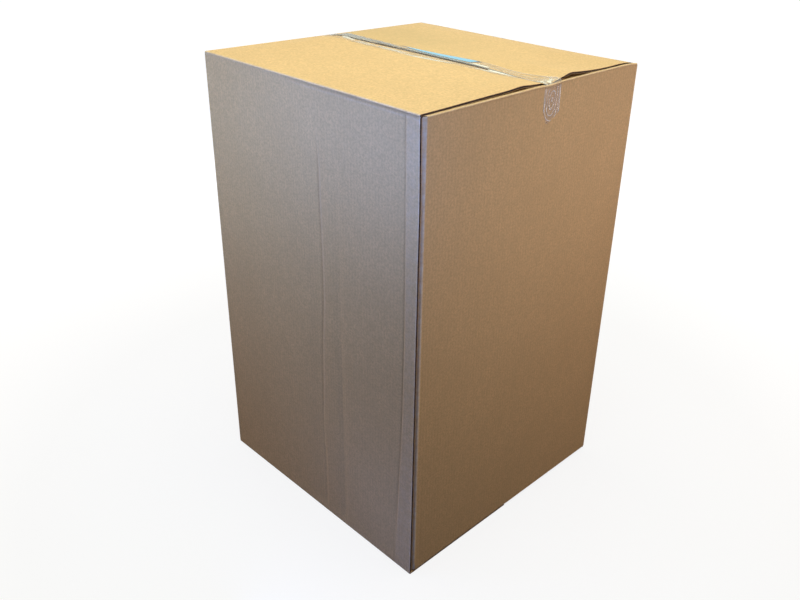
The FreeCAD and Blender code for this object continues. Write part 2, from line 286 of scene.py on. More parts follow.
def boardColumns():
    # the girth of the box as one path: front, left, back and right panels, then the glue tab;
    # reach is how far a column moves along its edge where the flaps begin
    right, back, fold = board["right"], board["back"], board["foldRadius"]
    tabFace = -back + board["thickness"] + board["layerGap"]
    facetFront, facetSide = board["facetFront"], board["facetSide"]
    flapOverhang = fold - board["slotSetback"]
    columns = {key: [] for key in ("x", "y", "nx", "ny", "panel", "reach")}
    corner, tab, nearCorner = -1, -2, -3

    def add(x, y, nx, ny, panel, startReach=0.0, endReach=0.0):
        x, y, nx, ny = np.broadcast_arrays(x, y, nx, ny)
        along = np.hypot(x - x[0], y - y[0])
        falloff = 12 * mm
        reach = endReach * np.clip(1 - (along[-1] - along) / falloff, 0, 1)
        reach = reach - startReach * np.clip(1 - along / falloff, 0, 1)
        for key, values in zip(columns, (x, y, nx, ny, np.full(x.shape, panel), reach)):
            columns[key].append(values)

    def addFold(centreX, centreY, startAngle):
        angle = np.radians(np.linspace(startAngle, startAngle - 90, 9)[1:-1])
        nx, ny = np.cos(angle), np.sin(angle)
        add(centreX + fold * nx, centreY + fold * ny, nx, ny, corner)

    fromLeft = stations([2.6, 20, 60, 318, 332, 362, 385, 420, 556, 566, 584, 598, 608],
                        [3, 7, 12, 5, 1.5, 5, 4.5, 12, 4, 1.4, 4, 1.6])
    add(fromLeft[::-1] - right, -back, 0, -1, 0, 0, flapOverhang)
    addFold(-right + fold, -back + fold, 270)
    add(-right, stations([-303.4, -290, 290, 303.4], [4, 26, 4]), -1, 0, 1, flapOverhang, flapOverhang)
    addFold(-right + fold, back - fold, 180)
    add(stations([-302.6, -230, 110, 250, 302.6], [9, 22, 10, 4]), back, 0, 1, 2, flapOverhang, flapOverhang)
    addFold(right - fold, back - fold, 90)
    rightY = stations([303.4, 260, -260, (tabFace + facetSide) / mm], [6, 15, 3])
    add(right, rightY, 1, 0, 3, flapOverhang)
    share, width = np.linspace(0, 1, 14)[1:-1], math.hypot(facetFront, facetSide)
    add(right - facetFront * share, tabFace + facetSide * (1 - share),
        facetSide / width, -facetFront / width, nearCorner)
    add(np.linspace(right - facetFront, right - board["tabWidth"], 4), tabFace, 0, -1, tab)
    columns = {key: np.concatenate(values) for key, values in columns.items()}
    step = np.hypot(np.diff(columns["x"]), np.diff(columns["y"]))
    columns["u"] = np.concatenate([[0], np.cumsum(step)])
    return columns


def boardRows():
    # up the blank: bottom flap, fold, panel, fold, top flap
    flapAlong = stations([0, 12, 200, 303], [4, 9, 3.2]) / (303 * mm)
    bottomAlong = np.linspace(1, 0, 8)[:-1]
    foldTurn = np.linspace(0, 1, 8)
    heights = stations([2.8, 60, 890, 940, 961.4], [9, 15, 6, 1.1])
    panelShare = (heights - heights[0]) / (heights[-1] - heights[0])
    rows = {key: [] for key in ("side", "turn", "share", "panelShare")}

    def add(side, turn, share, panelShare):
        for key, values in zip(rows, np.broadcast_arrays(side, turn, share, panelShare)):
            rows[key].append(values)

    add(-1, 1, bottomAlong, 0)
    add(-1, foldTurn[:0:-1], 0, 0)
    add(0, 0, 0, panelShare)
    add(1, foldTurn[1:], 0, 1)
    add(1, 1, flapAlong[1:], 1)
    return {key: np.concatenate(values).astype(float) for key, values in rows.items()}


def foldBlank(columns, rows):
    # both faces of the board for every row and column of the blank, its flat place as UV, and what
    # the paper's marks are worked out from
    fold, thickness = board["foldRadius"], board["thickness"]
    keys = ("x", "y", "nx", "ny", "panel", "reach", "u")
    x, y, nx, ny, panel, reach, u = (columns[key][None, :] for key in keys)
    side, turn, share, panelShare = (rows[key][:, None] for key in ("side", "turn", "share", "panelShare"))
    outer, corner = (panel == 0) | (panel == 2), panel < 0
    faceTop = np.where(outer, board["top"], board["top"] - thickness - board["layerGap"])
    faceUnder = np.where(outer, board["under"], board["under"] + thickness + board["layerGap"])

    # the crease of each panel follows the flap that it carries, and corners take the heights beside them
    creaseX, creaseY = x - nx * fold, y - ny * fold
    crease = np.where(outer, outerFlapHeight(creaseX, creaseY), innerFlapHeight(creaseX, creaseY))[0]
    known = ~corner[0]
    crease = np.interp(u[0], u[0][known], crease[known])[None, :]

    angle = turn * math.pi / 2
    reachEnd = np.where(outer, board["outerSeam"], board["innerSeam"])
    halfSize = np.where(outer, board["back"], board["right"])
    inward = fold * (1 - np.cos(angle)) + share * (halfSize - fold - reachEnd)
    moved = reach * ramp(turn, (board["slotStart"], 1))
    leaning = board["cutEdgeLean"] * (1 - eased((1 - panelShare) / board["leanShare"])) * (panel == 0)
    leaning = leaning * np.clip(1 - (board["right"] - x) / board["leanReach"], 0, 1)
    px = x - nx * inward + ny * moved - leaning
    py = y - ny * inward - nx * moved
    frayLength, seed = lid["raggedWaves"]
    ragged = bell(py - lid["raggedY"], lid["raggedReach"]) * ((panel == 2) & (side > 0))
    ragged = ragged * np.clip(1 - (board["right"] - px) / lid["raggedAcross"], 0, 1)
    px = px + lid["raggedDepth"] * (ripple(py, 0, frayLength, seed) - 0.5) * ragged
    zLow = faceUnder + fold
    zHigh = faceTop - fold + crease
    z = zLow + (zHigh - zLow) * panelShare + side * fold * np.sin(angle)
    aboveCrease = np.where(outer, outerFlapHeight(px, py), innerFlapHeight(px, py)) - crease
    z = z + np.where((side > 0) & (share > 0), aboveCrease, 0)

    # dents of the panels and the fuller middle of the crushed slant
    relief = np.where(panel == 0, frontRelief(px, z), 0)
    relief = np.where(panel == 3, rightRelief(py, z), relief)
    relief = np.where(panel == 1, unevenness(py, z, board["leftWaves"]), relief)
    relief = np.where(panel == 2, unevenness(px, z, board["backWaves"]), relief)
    acrossFacet = (board["right"] - x) / board["facetFront"]
    fuller = np.minimum(acrossFacet / board["bulgeShare"], (1 - acrossFacet) / (1 - board["bulgeShare"]))
    grown = ramp(board["top"] - z, board["bulgeGrow"])
    fuller = fuller * (board["bulgeAtTop"] + (1 - board["bulgeAtTop"]) * grown)
    relief = np.where(panel == -3, board["facetBulge"] * fuller, relief)
    isFreeEdge = (panel == 0) & (px > 0)
    fromFold = np.where(outer, board["right"] - np.abs(px), board["back"] - np.abs(py))
    besideFold, underTop, overFoot = board["dentFade"]
    relief = relief * np.where(isFreeEdge | corner, 1, eased((fromFold - fold) / besideFold))
    relief = relief * eased((zHigh - z) / underTop) * eased((z - zLow) / overFoot) * (side == 0)

    # the inner face lies one thickness behind, less where the board is crushed
    outerFace = joined(px + nx * relief, py + ny * relief, z)
    level = np.cos(angle)
    outward = joined(nx * level, ny * level, side * np.sin(angle))
    fromRow = np.where(side == 0, np.minimum(z - zLow, zHigh - z), np.where(share > 0, inward - fold, 0))
    fromColumn = np.where(isFreeEdge | (panel < -1) | (side != 0), 1, fromFold - fold)
    fromColumn = np.where(panel == -1, 0, fromColumn)
    crushed = 1 - np.clip(np.minimum(fromRow, fromColumn) / board["crushReach"], 0, 1)
    innerFace = outerFace - outward * (thickness - board["foldCrush"] * crushed)[..., None]
    flat = joined(u + moved, z + side * inward)
    places = x, px, py, z, panel, side, turn, share, fromFold, inward, acrossFacet
    return outerFace, innerFace, flat, places


# Pale and dark lines of the paper: strength, half width and place of each line. The pale ones are scuffed
# paper, with painted highlight at the cut edge, the slant and beside the grooves; the dark ones are painted
# shade.
paperLines = {
    "cutEdge": (0.8, 2.2 * mm, 2 * mm),
    "fold": (0.3, 3.5 * mm, 0),
    "topCrease": (0.25, 5 * mm, 0),
    "flapCrease": (0.3, 3.5 * mm, 0),
    "besideBuckle": (0.17, 3.4 * mm, 5 * mm),
    "underScored": (0.2, 2.6 * mm, 10.5 * mm),
    "inBuckle": (0.4, 3.2 * mm, -0.5 * mm),    # these three are dark: painted shade in the grooves
    "inTabLine": (0.25, 2.4 * mm, -1 * mm),
    "inScored": (0.35, 3 * mm, 6.2 * mm),
    "facetFade": 0.45,            # how much weaker the slant's pale scuffing and painted sheen are at its front
    "overTab": 0.16,              # the panel over the glue tab is paler
    "overTabStep": metres(0, 4),
    "buckleStart": metres(60, 180),    # under the top, where the lines in the buckle come and go
    "buckleEnd": metres(620, 780),
    "scoredStart": metres(240, 350),    # from the left
    "dust": metres(-170, 95, 130, 90),    # place, reach and length of its clouds
    "dustStretch": 2.4,
    "dustClouds": (1.25, 0.6, 16),    # mean, variation and seed
}


def paperMarks(x, px, py, z, panel, side, turn, share, fromFold, inward, acrossFacet):
    # paler scuffed paper with painted highlights, painted shade in the creases, and the dusty part of the
    # back flap, each from 0 to 1
    onPanel, depth = side == 0, board["top"] - z
    onFront = (panel == 0) * onPanel
    # pale at the cut edge and on the slant: scuffed paper plus painted highlight at the edge and painted
    # sheen on the slant
    cutEdge = groove(board["right"] - x, paperLines["cutEdge"]) * onFront
    nearFold = np.where(panel == -3, 1 - paperLines["facetFade"] * acrossFacet, 0) * (share == 0)
    foldWear = groove(np.minimum(fromFold, 60 * mm), paperLines["fold"]) * onPanel
    creaseWear = groove(depth, paperLines["topCrease"]) * onPanel + groove(inward, paperLines["flapCrease"]) * (turn > 0)
    buckle, tabLine = fromMark(px, z, "buckle"), fromMark(px, z, "tabLine")
    buckled = ramp(depth, paperLines["buckleStart"]) * (1 - ramp(depth, paperLines["buckleEnd"]))
    scored = ramp(px + board["right"], paperLines["scoredStart"])
    paler = paperLines["overTab"] * ramp(tabLine, paperLines["overTabStep"])
    # pale lines beside the buckle and under the scored line: scuffed paper plus painted highlight on the lit
    # side of the grooves
    paler = paler + groove(buckle, paperLines["besideBuckle"]) * buckled
    paler = paler + groove(depth, paperLines["underScored"]) * scored
    scuffAndHighlight = np.maximum(np.maximum(cutEdge, nearFold), np.maximum(foldWear, creaseWear)) + paler * onFront
    # painted shade in the buckle, the tab line and the scored line
    paintedCreaseShade = np.maximum(groove(buckle, paperLines["inBuckle"]) * buckled, groove(tabLine, paperLines["inTabLine"]))
    paintedCreaseShade = np.maximum(paintedCreaseShade, groove(depth, paperLines["inScored"]) * scored) * onFront
    dustX, dustY, reach, cloudLength = paperLines["dust"]
    mean, variation, seed = paperLines["dustClouds"]
    dusty = bell(np.hypot((px - dustX) / paperLines["dustStretch"], py - dustY), reach)
    dusty = dusty * (mean + variation * ripple(px, py, cloudLength, seed)) * (panel == 2) * (side > 0)
    marks = {"scuffAndHighlight": scuffAndHighlight, "dusty": dusty, "paintedCreaseShade": paintedCreaseShade}
    return {key: np.clip(np.broadcast_to(value, z.shape), 0, 1).reshape(-1) for key, value in marks.items()}


def blankFaces(columns, rows):
    # quads of the outer face, with the slots between the flaps left out
    rowCount, columnCount = len(rows["side"]), len(columns["x"])
    r, c = np.indices((rowCount - 1, columnCount - 1))
    inPanel = (rows["side"][r] == 0) & (rows["side"][r + 1] == 0)
    panel, following = columns["panel"][c], columns["panel"][c + 1]
    samePanel = (panel >= 0) & (panel == following)
    # the crushed corner beside the glued edge stays closed all through the fold
    crushed = (np.minimum(panel, following) == -3) & (rows["side"][r + 1] == 1) & (rows["share"][r + 1] == 0)
    kept = inPanel | samePanel | crushed
    return gridQuads(r[kept], c[kept], columnCount)


def gridQuads(r, c, columnCount):
    # four neighbours in a grid of vertices, for the rows and columns given
    first = (r * columnCount + c).ravel()
    return joined(first, first + columnCount, first + columnCount + 1, first + 1)


def closeSheet(outerFace, innerFace, faces, profile):
    # joins both faces of a sheet along every free edge; profile is (share of thickness, recess) steps
    count = len(outerFace)
    following = np.roll(faces, -1, axis=1)
    starts, ends = faces.ravel(), following.ravel()
    free = ~np.isin(starts * count + ends, ends * count + starts)
    starts, ends = starts[free], ends[free]
    outward = outerFace - innerFace
    outward = outward / np.linalg.norm(outward, axis=1, keepdims=True)
    direction = outerFace[ends] - outerFace[starts]
    away = np.zeros_like(outerFace)
    np.add.at(away, starts, np.cross(direction, outward[starts]))
    np.add.at(away, ends, np.cross(direction, outward[ends]))
    rim = np.unique(starts)
    away = away[rim] / np.maximum(np.linalg.norm(away[rim], axis=1, keepdims=True), 1e-12)
    place = np.full(count, -1)
    place[rim] = np.arange(len(rim))
    vertices = [outerFace, innerFace]
    layers = [np.arange(count)]
    for share, recess in profile:
        layers.append(2 * count + (len(vertices) - 2) * len(rim) + place)
        vertices.append(outerFace[rim] * (1 - share) + innerFace[rim] * share - away * recess)
    layers.append(count + np.arange(count))
    walls = [joined(b[starts], b[ends], a[ends], a[starts]) for a, b in zip(layers, layers[1:])]
    return np.concatenate(vertices), np.concatenate([faces, faces[:, ::-1] + count]), walls, rim


def placed(name, data):
    thing = bpy.data.objects.new(name, data)
    bpy.context.scene.collection.objects.link(thing)
    return thing


def meshPiece(name, vertices, faces, uv, slots, slotIndex, attributes, sharpAngle=35):
    # one object at the origin from arrays; unused vertices are dropped first
    used, faces = np.unique(faces, return_inverse=True)
    faces = faces.reshape(-1, 4)
    mesh = bpy.data.meshes.new(name)
    mesh.from_pydata(vertices[used], [], faces)
    for material in slots:
        mesh.materials.append(material)
    mesh.polygons.foreach_set("material_index", slotIndex.astype(np.int32))
    layer = mesh.uv_layers.new(name="flat")
    layer.data.foreach_set("uv", uv[used][faces.ravel()].astype(np.float32).ravel())
    for key, values in attributes.items():
        attribute = mesh.attributes.new(key, "FLOAT", "POINT")
        attribute.data.foreach_set("value", values[used].astype(np.float32))
    mesh.polygons.foreach_set("use_smooth", np.ones(len(faces), bool))
    mesh.validate()
    mesh.update()
    mesh.set_sharp_from_angle(angle=math.radians(sharpAngle))
    piece = placed(name, mesh)
    print(name, len(faces) * 2, "triangles")
    return piece


def nodeMaterial(name):
    material = bpy.data.materials.new(name)
    material.use_nodes = True
    tree = material.node_tree
    return material, tree, tree.nodes["Principled BSDF"]


def attributeNode(tree, name):
    node = tree.nodes.new("ShaderNodeAttribute")
    node.attribute_name = name
    return node.outputs["Fac"]


def feed(tree, node, values):
    # sets or links the inputs of a node, by name or number
    for key, value in values.items():
        socket = node.inputs[key]
        if isinstance(value, bpy.types.NodeSocket):
            tree.links.new(value, socket)
        elif socket.type == "RGBA":
            socket.default_value = (*value, 1)
        else:
            socket.default_value = value


def noiseNode(tree, vector, scale, detail, roughness):
    noise = tree.nodes.new("ShaderNodeTexNoise")
    feed(tree, noise, {"Vector": vector, "Scale": scale, "Detail": detail, "Roughness": roughness})
    return noise.outputs["Fac"]


def mottle(tree, vector, look):
    # noise cut to a range: scale, detail, roughness, from, to, result from, result to
    scale, detail, roughness, *ends = look
    return rangeNode(tree, noiseNode(tree, vector, scale, detail, roughness), *ends)


def mathNode(tree, operation, a, b=0.0):
    node = tree.nodes.new("ShaderNodeMath")
    node.operation = operation
    feed(tree, node, {0: a, 1: b})
    return node.outputs[0]


def rangeNode(tree, value, low, high, outLow, outHigh):
    node = tree.nodes.new("ShaderNodeMapRange")
    feed(tree, node, {"Value": value, "From Min": low, "From Max": high,
                      "To Min": outLow, "To Max": outHigh})
    return node.outputs["Result"]


def mixNode(tree, factor, first, second):
    node = tree.nodes.new("ShaderNodeMix")
    node.data_type = "RGBA"
    feed(tree, node, {0: factor, 6: first, 7: second})
    return node.outputs[2]


def flatPlace(tree, scale):
    # place on the flat sheet, plain and stretched
    flat = tree.nodes.new("ShaderNodeUVMap")
    flat.uv_map = "flat"
    stretched = tree.nodes.new("ShaderNodeMapping")
    feed(tree, stretched, {"Vector": flat.outputs["UV"], "Scale": scale})
    return flat.outputs["UV"], stretched.outputs["Vector"]


def mottledMaterial(name, scale, dark, light, roughness):
    # noise between two colours
    material, tree, shader = nodeMaterial(name)
    place = tree.nodes.new("ShaderNodeTexCoord").outputs["Object"]
    shade = mottle(tree, place, (scale, 3, 0.55, 0.35, 0.65, 0, 1))
    feed(tree, shader, {"Base Color": mixNode(tree, shade, dark, light), "Roughness": roughness})
    return material


# Brown paper liner: a mottled sheet with fibres, faint flutes showing through as bumps and as stripes of
# painted shade, scuffed folds, painted highlights and painted shade in the creases.
# The rows of seven numbers are in the order of the mottle function.
paper = {
    "colour": (0.73, 0.50, 0.25),
    "darkMottle": (0.53, 0.362, 0.178),
    "coolMottle": (0.63, 0.44, 0.225),
    # dark fibres; also the colour of the painted shade in the creases and along the flutes
    "darkFibreAndShade": (0.36, 0.21, 0.10),
    # pale scuffed paper; also the colour of the painted highlights and sheen
    "paleScuffAndHighlight": (0.73, 0.67, 0.56),
    "dust": (0.52, 0.37, 0.18),
    "blotches": (7, 4, 0.55, 0.35, 0.7, 0, 0.25),
    "clouds": (55, 3, 0.55, 0.4, 0.62, 0, 0.6),
    "speckles": (240, 3, 0.7, 0.4, 0.62, 0, 0.75),
    "fibres": (1, 2, 0.7, 0.62, 0.8, 0, 0.5),
    "fibreStretch": (900, 240, 1),
    "paleMottle": (90, 4, 0.65, 0.4, 0.68, 0.4, 0.95),
    "dusting": (130, 4, 0.7, 0.35, 0.65, 0.2, 1.0),
    "flutePitch": 7.9 * mm,
    # darkening along the flutes: painted shade of their ridges
    "fluteShade": 0.09,
    "fluteHeight": 0.030 * mm,
    "grain": (420, 3, 0.6),       # scale, detail and roughness
    "grainHeight": 0.17 * mm,
    "roughness": 0.6,
    "gloss": 0.08,
}


def paperMaterial():
    material, tree, shader = nodeMaterial("brownLiner")
    flat, stretched = flatPlace(tree, paper["fibreStretch"])
    place = tree.nodes.new("ShaderNodeTexCoord").outputs["Object"]
    split = tree.nodes.new("ShaderNodeSeparateXYZ")
    feed(tree, split, {0: flat})
    phase = mathNode(tree, "MULTIPLY", split.outputs["X"], 2 * math.pi / paper["flutePitch"])
    flute = mathNode(tree, "SINE", phase)
    colour = mixNode(tree, mottle(tree, place, paper["blotches"]), paper["colour"], paper["darkMottle"])
    colour = mixNode(tree, mottle(tree, place, paper["clouds"]), colour, paper["coolMottle"])
    colour = mixNode(tree, mottle(tree, place, paper["speckles"]), colour, paper["darkMottle"])
    colour = mixNode(tree, mottle(tree, stretched, paper["fibres"]), colour, paper["darkFibreAndShade"])
    # stripes of painted shade along the flutes
    colour = mixNode(tree, rangeNode(tree, flute, -1, 1, 0, paper["fluteShade"]), colour, paper["darkFibreAndShade"])
    # dust, then scuffed paper with painted highlights
    for mark, look, over in (("dusty", "dusting", "dust"), ("scuffAndHighlight", "paleMottle", "paleScuffAndHighlight")):
        strength = mathNode(tree, "MULTIPLY", attributeNode(tree, mark), mottle(tree, place, paper[look]))
        colour = mixNode(tree, strength, colour, paper[over])
    # painted shade in the creases
    colour = mixNode(tree, attributeNode(tree, "paintedCreaseShade"), colour, paper["darkFibreAndShade"])
    height = mathNode(tree, "MULTIPLY", flute, paper["fluteHeight"])
    grain = mathNode(tree, "MULTIPLY", noiseNode(tree, place, *paper["grain"]), paper["grainHeight"])
    bump = tree.nodes.new("ShaderNodeBump")
    feed(tree, bump, {"Strength": 1, "Distance": 1, "Height": mathNode(tree, "ADD", height, grain)})
    feed(tree, shader, {"Base Color": colour, "Roughness": paper["roughness"],
                        "Specular IOR Level": paper["gloss"], "Normal": bump.outputs["Normal"]})
    return material


def cutEdgeMaterial():
    # the hollow between the liners, where the fluting is seen from the side; its near-black colour is
    # painted shade in the open flutes
    return mottledMaterial("flutingInShade", 180, (0.055, 0.03, 0.02), (0.12, 0.07, 0.04), 0.9)


def buildCarton():
    # one closed sheet: both faces and the walls between them, hollow where the fluting shows
    columns, rows = boardColumns(), boardRows()
    outerFace, innerFace, flat, places = foldBlank(columns, rows)
    faces = blankFaces(columns, rows)
    liner, recess = board["linerShare"], board["edgeRecess"]
    profile = [(liner, 0), (liner * 1.3, recess), (1 - liner * 1.3, recess), (1 - liner, 0)]
    outerFace, innerFace = outerFace.reshape(-1, 3), innerFace.reshape(-1, 3)
    vertices, sheetFaces, walls, rim = closeSheet(outerFace, innerFace, faces, profile)
    for axis, limit in ((0, board["right"]), (1, board["back"])):
        vertices[:, axis] = np.clip(vertices[:, axis], -limit, limit)
    uv = flat.reshape(-1, 2)
    uv = np.concatenate([uv, uv] + [uv[rim]] * len(profile))
    marks = {key: np.concatenate([v, 0 * v] + [0 * v[rim]] * len(profile))
             for key, v in paperMarks(*places).items()}
    allFaces = np.concatenate([sheetFaces] + walls)
    hollow = np.concatenate([np.zeros(len(sheetFaces))] + [np.full(len(wall), float(0 < k < len(walls) - 1))
                                                          for k, wall in enumerate(walls)])
    piece = meshPiece("carton_board", vertices, allFaces, uv, [paperMaterial(), cutEdgeMaterial()], hollow,
                      marks)
    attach(piece, "root")
    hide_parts("carton")


buildCarton()
print("carton folded")

# Clear tape over the seam, laid by hand a little askew and wrinkled; its right end is torn.
# In the lists below s runs along the tape and t across it from its middle line.
tape = {
    "width": 48 * mm,
    "film": 0.1 * mm,
    "lift": 0.09 * mm,
    "bridging": 5 * mm,           # how far from the seam the film leaves the front flap
    "middleAlong": metres(-299, -150, 0, 140, 238, 299),
    "middle": metres(8, -2, -3, 8, 12, 28),
    "turnStart": 299 * mm,
    "turnRadius": 6 * mm,
    "leftTail": 54 * mm,
    "tearAcross": metres(-24, -13, 0, 12, 24),
    "tearLength": metres(42, 66, 63, 59, 54),
    # air trapped under the film: s, t, half length, half width, slant, strength
    "milky": [(-215, -8, 26, 4, -0.05, 0.8), (-150, -13, 34, 7, 0.0, 0.5), (-70, -12, 44, 6, -0.05, 0.6),
              (30, -20.5, 62, 3.4, 0.04, 0.7), (150, 1, 24, 3.6, 0.04, 1.1), (178, -17, 26, 2, 0.03, 0.8),
              (208, -12, 30, 3.4, -0.05, 1.1), (252, -20, 16, 1.6, 0.1, 0.6), (288, -14, 7, 3, 0.5, 0.9),
              (297, -2, 7, 4, -0.6, 0.9), (290, 8, 8, 2.4, 0.4, 0.7), (301, -18, 6, 3, 0.2, 0.8)],
    # film that stands off the board and looks dull: the same six columns
    "smoky": [(-238, 10, 84, 13, 0.0, 0.98), (-150, 13, 70, 8, 0.02, 0.85)],
    "seamDark": 3.8 * mm,         # half width of the painted shade line where the film bridges the seam
    "seamAlong": metres(-140, -60, 60, 292),
    "seamBehind": metres(5, 5.5, 3.5, 2),
    # the bubble beside the seam that mirrors the blue window, dark beneath as painted shade: its near
    # border, s and t
    "bubbleAlong": metres(-80, -45, 20, 75, 130),
    "bubbleFrom": metres(23, 16, 9, 4, 1),
    "bubbleEnd": 122 * mm,
    # long creases: s from, s to, t from, t to, height
    "ridges": [(124, 290, 8, 7, 0.5), (120, 292, 22, 21, 0.5), (-40, 120, -9, -12, 0.4),
               (-200, -60, -19, -15, 0.4), (130, 250, -20, -22, 0.45), (190, 290, -3, -16, 0.5),
               (-290, -120, 3, 1, 0.35), (130, 240, 14, 15, 0.3)],
    # small creases: count, seed, width, height, and between which s
    "smallCreases": (26, 21, 0.9 * mm, 0.4 * mm, (-0.28, 0.29)),
    "crumple": metres(291, 20, 1.1),    # crumpled right end: s, reach, height
    "tailFrom": metres(9, 15),    # past the turn, where the lines of the torn tail take over
    "loops": metres(34, 6.2, 2.2, 26),    # those lines: middle, spacing, sway and its length
    "edgeLine": 1.2 * mm,
    "tailHeight": 0.4 * mm,
    "bubbleHeight": 0.5 * mm,
}


def tapeMiddle(x):
    return throughPoints(x, tape["middleAlong"], tape["middle"])


def seatHeight(x, y):
    # the tape lies on both flaps and bridges the step between their ends like a small tent
    step = flapHeight(x, 0 * y, "back") - flapHeight(x, 0 * y, "front")
    onFront = flapHeight(x, y, "front") + step * np.exp(np.minimum(y, 0) / tape["bridging"])
    return np.where(y < 0, onFront, flapHeight(x, y, "back"))


def patches(s, t, rows, seed):
    # soft slanted ellipses with ragged borders, the strongest one at each point
    total = np.zeros(s.shape)
    ragged = 0.35 * ripple(s / 4, t, 5 * mm, seed)
    for middle, across, halfLength, halfWidth, slant, strength in rows:
        along = (s - middle * mm) / (halfLength * mm)
        aside = (t - across * mm - slant * (s - middle * mm)) / (halfWidth * mm)
        total = np.maximum(total, strength * eased((1.15 - np.hypot(along, aside) + ragged) / 0.3))
    return total


def longRidges(s, t):
    # creases that run along the tape with a slight sway, fading at both ends
    total = np.zeros(s.shape)
    for start, end, acrossStart, acrossEnd, height in tape["ridges"]:
        share = (s / mm - start) / (end - start)
        line = (acrossStart + (acrossEnd - acrossStart) * share + 0.6 * np.sin(share * 9 + start)) * mm
        fade = eased(share / 0.1) * eased((1 - share) / 0.1)
        total = np.maximum(total, height * mm * fade * bell(t - line, 1.6 * mm))
    return total


def wanderingCreases(s, t, count, seed, width, height, region):
    # thin ridges that wander along the tape, each over its own stretch
    rng = np.random.default_rng(seed)
    total = np.zeros(np.broadcast(s, t).shape)
    for k in range(count):
        middle, reach = rng.uniform(*region), rng.uniform(12, 60) * mm
        across, drift = rng.uniform(-0.46, 0.46) * tape["width"], rng.uniform(-0.12, 0.12)
        sway, phase = rng.uniform(0.5, 2.2) * mm, rng.uniform(0, 2 * math.pi)
        line = across + drift * (s - middle) + sway * np.sin((s - middle) / (19 * mm) + phase)
        size = height * rng.uniform(0.4, 1.0)
        ridge = bell(t - line, width * rng.uniform(0.7, 1.5))
        total = np.maximum(total, size * ridge * eased(1.2 - np.abs(s - middle) / reach))
    return total


def bubble(s, t):
    border = throughPoints(s, tape["bubbleAlong"], tape["bubbleFrom"])
    inside = eased((t - border) / (1.5 * mm)) * eased((tape["width"] / 2 - t) / (0.8 * mm))
    start, end = tape["bubbleAlong"][0], tape["bubbleEnd"] + 0.6 * t
    return inside * eased((s - start) / (6 * mm)) * eased((end - s) / (3 * mm))


def tapeTail(side, t, length, share):
    # turn over the edge and the end that hangs on the side panel
    start, radius, lift = tape["turnStart"], tape["turnRadius"], tape["lift"]
    yEnd = tapeMiddle(side * start + 0 * t) + t
    zEnd = board["top"] + seatHeight(side * start + 0 * t, yEnd) + lift
    quarter = np.linspace(0, 1, 7)[1:-1]
    angle = quarter[:, None] * math.pi / 2
    downZ = zEnd - radius - share[:, None] * (length + 0 * t)
    yDown = yEnd + 0 * downZ
    relief = rightRelief(yDown, downZ) if side > 0 else 0 * downZ
    downX = side * (board["right"] + relief + lift)
    turnX = side * start + (downX[:1] - side * start) * np.sin(angle)
    turnZ = zEnd - radius * (1 - np.cos(angle))
    turnNormal = joined(side * np.sin(angle), 0, np.cos(angle) + 0 * t)
    downNormal = joined(float(side), 0.0, 0 * downZ)
    points = np.concatenate([joined(turnX, yEnd, turnZ), joined(downX, yDown, downZ)])
    travel = np.concatenate([quarter[:, None] * radius * 1.5 + 0 * t,
                             radius * 1.5 + share[:, None] * (length + 0 * t)])
    return points, np.concatenate([turnNormal, downNormal]), side * (start + travel)


